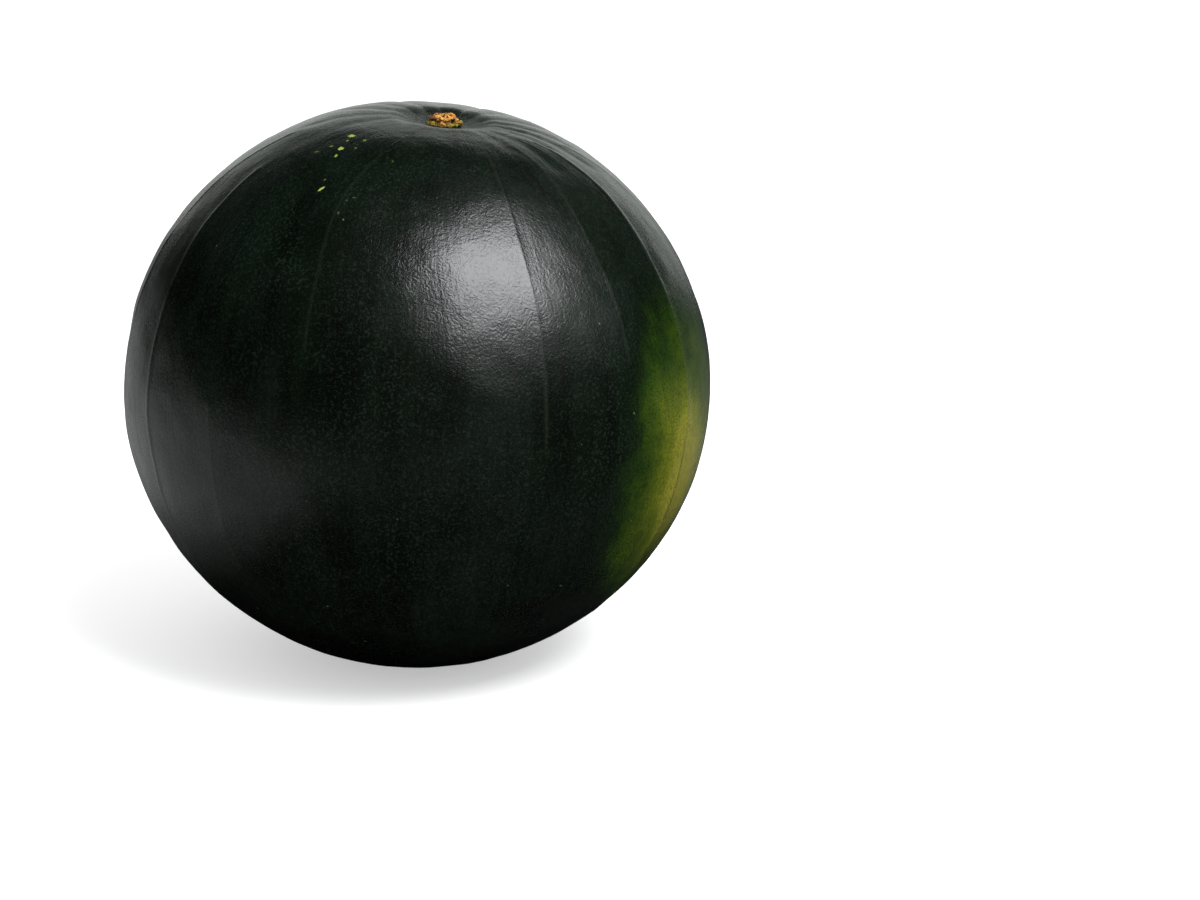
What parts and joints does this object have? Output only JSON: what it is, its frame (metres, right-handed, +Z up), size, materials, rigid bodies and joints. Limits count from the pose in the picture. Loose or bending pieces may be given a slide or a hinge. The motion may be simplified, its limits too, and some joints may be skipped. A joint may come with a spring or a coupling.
{
  "type": "watermelon",
  "caption": "Whole round watermelon with a nearly black, satin rind, soft ribs, a yellow-green ground patch and a dry corky stem stub in its dimple.",
  "frame": {"origin": "centre of the flat spot that the fruit stands on, at the middle of its box in X and Y", "axes": "+Z up along the fruit's own axis, from blossom end to stem end; -Y is the front; +X is right and is the side with the ground patch"},
  "size_m": [0.2642, 0.2651, 0.2516],
  "materials": {
    "rind": "waxy satin skin, nearly black green, with fine leathery grain, thin pale ribs and a yellow-green patch low on one side",
    "cork": "dry, fibrous, broken cork with a greenish rim at its foot"
  },
  "bodies": {
    "root": {"fruit": "rind", "stem_stub": "cork"}
  },
  "joints": []
}
